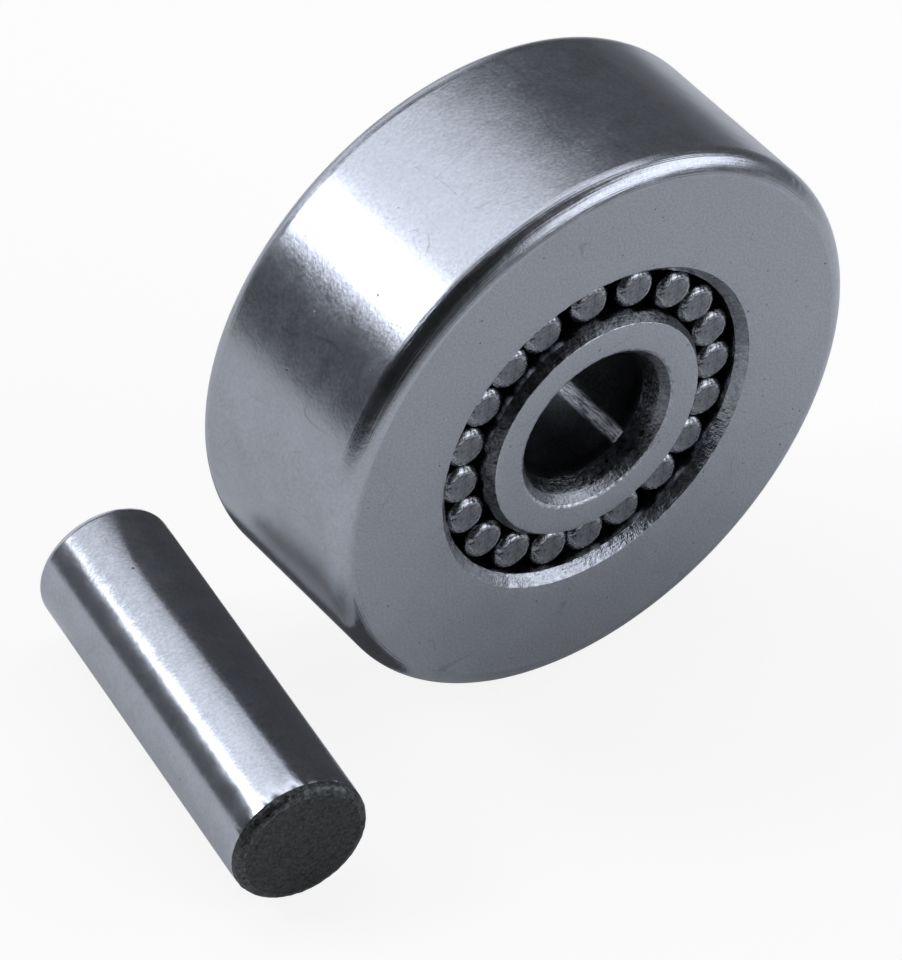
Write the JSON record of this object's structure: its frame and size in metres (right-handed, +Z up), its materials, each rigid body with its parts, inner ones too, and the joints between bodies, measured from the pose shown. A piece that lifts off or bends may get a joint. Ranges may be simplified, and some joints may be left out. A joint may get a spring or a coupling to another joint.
{
  "type": "cam follower roller",
  "caption": "Needle roller cam follower: thick outer ring on a full complement of needles round an inner ring, with its loose pin beside it.",
  "frame": {"origin": "on the ground under the middle of the set, the roller and its pin taken together", "axes": "+Z up, +Y along the roller's axis from its front face to its back face, +X to the right seen from the front, with the pin on the left"},
  "size_m": [0.0554, 0.031, 0.043],
  "materials": {
    "outer_ring_steel": "ground bearing steel, satin side faces and a finely ground tread with soft wear marks",
    "inner_ring_steel": "ground bearing steel with lapped side faces and a honed bore",
    "needle_steel": "polished bearing steel with plain ends",
    "pin_steel": "ground and polished side, dark matt ends left from heat treatment"
  },
  "bodies": {
    "inner_ring": {"inner_ring": "inner_ring_steel"},
    "outer_ring": {"outer_ring": "outer_ring_steel"},
    "needle_01": {"needle_01": "needle_steel"},
    "needle_02": {"needle_02": "needle_steel"},
    "needle_03": {"needle_03": "needle_steel"},
    "needle_04": {"needle_04": "needle_steel"},
    "needle_05": {"needle_05": "needle_steel"},
    "needle_06": {"needle_06": "needle_steel"},
    "needle_07": {"needle_07": "needle_steel"},
    "needle_08": {"needle_08": "needle_steel"},
    "needle_09": {"needle_09": "needle_steel"},
    "needle_10": {"needle_10": "needle_steel"},
    "needle_11": {"needle_11": "needle_steel"},
    "needle_12": {"needle_12": "needle_steel"},
    "needle_13": {"needle_13": "needle_steel"},
    "needle_14": {"needle_14": "needle_steel"},
    "needle_15": {"needle_15": "needle_steel"},
    "needle_16": {"needle_16": "needle_steel"},
    "needle_17": {"needle_17": "needle_steel"},
    "needle_18": {"needle_18": "needle_steel"},
    "needle_19": {"needle_19": "needle_steel"},
    "needle_20": {"needle_20": "needle_steel"},
    "pin": {"pin": "pin_steel"}
  },
  "joints": [
    {"name": "outer_ring_spin", "type": "hinge", "parent": "inner_ring", "child": "outer_ring", "pos_m": [0.00623, -0.0005, 0.0215], "axis": [0, 1, 0], "continuous": true},
    {"name": "needle_01_orbit", "type": "hinge", "parent": "inner_ring", "child": "needle_01", "pos_m": [0.00623, -0.0005, 0.0215], "axis": [0, 1, 0], "continuous": true},
    {"name": "needle_02_orbit", "type": "hinge", "parent": "inner_ring", "child": "needle_02", "pos_m": [0.00623, -0.0005, 0.0215], "axis": [0, 1, 0], "continuous": true},
    {"name": "needle_03_orbit", "type": "hinge", "parent": "inner_ring", "child": "needle_03", "pos_m": [0.00623, -0.0005, 0.0215], "axis": [0, 1, 0], "continuous": true},
    {"name": "needle_04_orbit", "type": "hinge", "parent": "inner_ring", "child": "needle_04", "pos_m": [0.00623, -0.0005, 0.0215], "axis": [0, 1, 0], "continuous": true},
    {"name": "needle_05_orbit", "type": "hinge", "parent": "inner_ring", "child": "needle_05", "pos_m": [0.00623, -0.0005, 0.0215], "axis": [0, 1, 0], "continuous": true},
    {"name": "needle_06_orbit", "type": "hinge", "parent": "inner_ring", "child": "needle_06", "pos_m": [0.00623, -0.0005, 0.0215], "axis": [0, 1, 0], "continuous": true},
    {"name": "needle_07_orbit", "type": "hinge", "parent": "inner_ring", "child": "needle_07", "pos_m": [0.00623, -0.0005, 0.0215], "axis": [0, 1, 0], "continuous": true},
    {"name": "needle_08_orbit", "type": "hinge", "parent": "inner_ring", "child": "needle_08", "pos_m": [0.00623, -0.0005, 0.0215], "axis": [0, 1, 0], "continuous": true},
    {"name": "needle_09_orbit", "type": "hinge", "parent": "inner_ring", "child": "needle_09", "pos_m": [0.00623, -0.0005, 0.0215], "axis": [0, 1, 0], "continuous": true},
    {"name": "needle_10_orbit", "type": "hinge", "parent": "inner_ring", "child": "needle_10", "pos_m": [0.00623, -0.0005, 0.0215], "axis": [0, 1, 0], "continuous": true},
    {"name": "needle_11_orbit", "type": "hinge", "parent": "inner_ring", "child": "needle_11", "pos_m": [0.00623, -0.0005, 0.0215], "axis": [0, 1, 0], "continuous": true},
    {"name": "needle_12_orbit", "type": "hinge", "parent": "inner_ring", "child": "needle_12", "pos_m": [0.00623, -0.0005, 0.0215], "axis": [0, 1, 0], "continuous": true},
    {"name": "needle_13_orbit", "type": "hinge", "parent": "inner_ring", "child": "needle_13", "pos_m": [0.00623, -0.0005, 0.0215], "axis": [0, 1, 0], "continuous": true},
    {"name": "needle_14_orbit", "type": "hinge", "parent": "inner_ring", "child": "needle_14", "pos_m": [0.00623, -0.0005, 0.0215], "axis": [0, 1, 0], "continuous": true},
    {"name": "needle_15_orbit", "type": "hinge", "parent": "inner_ring", "child": "needle_15", "pos_m": [0.00623, -0.0005, 0.0215], "axis": [0, 1, 0], "continuous": true},
    {"name": "needle_16_orbit", "type": "hinge", "parent": "inner_ring", "child": "needle_16", "pos_m": [0.00623, -0.0005, 0.0215], "axis": [0, 1, 0], "continuous": true},
    {"name": "needle_17_orbit", "type": "hinge", "parent": "inner_ring", "child": "needle_17", "pos_m": [0.00623, -0.0005, 0.0215], "axis": [0, 1, 0], "continuous": true},
    {"name": "needle_18_orbit", "type": "hinge", "parent": "inner_ring", "child": "needle_18", "pos_m": [0.00623, -0.0005, 0.0215], "axis": [0, 1, 0], "continuous": true},
    {"name": "needle_19_orbit", "type": "hinge", "parent": "inner_ring", "child": "needle_19", "pos_m": [0.00623, -0.0005, 0.0215], "axis": [0, 1, 0], "continuous": true},
    {"name": "needle_20_orbit", "type": "hinge", "parent": "inner_ring", "child": "needle_20", "pos_m": [0.00623, -0.0005, 0.0215], "axis": [0, 1, 0], "continuous": true},
    {"name": "pin_slide", "type": "slide", "parent": "inner_ring", "child": "pin", "axis": [-0.1478, -0.989, 0], "range_m": [0, 0.023]}
  ],
  "couplings": [
    {"joint": "needle_01_orbit", "follows": "outer_ring_spin", "ratio": 0.5731},
    {"joint": "needle_02_orbit", "follows": "outer_ring_spin", "ratio": 0.5731},
    {"joint": "needle_03_orbit", "follows": "outer_ring_spin", "ratio": 0.5731},
    {"joint": "needle_04_orbit", "follows": "outer_ring_spin", "ratio": 0.5731},
    {"joint": "needle_05_orbit", "follows": "outer_ring_spin", "ratio": 0.5731},
    {"joint": "needle_06_orbit", "follows": "outer_ring_spin", "ratio": 0.5731},
    {"joint": "needle_07_orbit", "follows": "outer_ring_spin", "ratio": 0.5731},
    {"joint": "needle_08_orbit", "follows": "outer_ring_spin", "ratio": 0.5731},
    {"joint": "needle_09_orbit", "follows": "outer_ring_spin", "ratio": 0.5731},
    {"joint": "needle_10_orbit", "follows": "outer_ring_spin", "ratio": 0.5731},
    {"joint": "needle_11_orbit", "follows": "outer_ring_spin", "ratio": 0.5731},
    {"joint": "needle_12_orbit", "follows": "outer_ring_spin", "ratio": 0.5731},
    {"joint": "needle_13_orbit", "follows": "outer_ring_spin", "ratio": 0.5731},
    {"joint": "needle_14_orbit", "follows": "outer_ring_spin", "ratio": 0.5731},
    {"joint": "needle_15_orbit", "follows": "outer_ring_spin", "ratio": 0.5731},
    {"joint": "needle_16_orbit", "follows": "outer_ring_spin", "ratio": 0.5731},
    {"joint": "needle_17_orbit", "follows": "outer_ring_spin", "ratio": 0.5731},
    {"joint": "needle_18_orbit", "follows": "outer_ring_spin", "ratio": 0.5731},
    {"joint": "needle_19_orbit", "follows": "outer_ring_spin", "ratio": 0.5731},
    {"joint": "needle_20_orbit", "follows": "outer_ring_spin", "ratio": 0.5731}
  ]
}
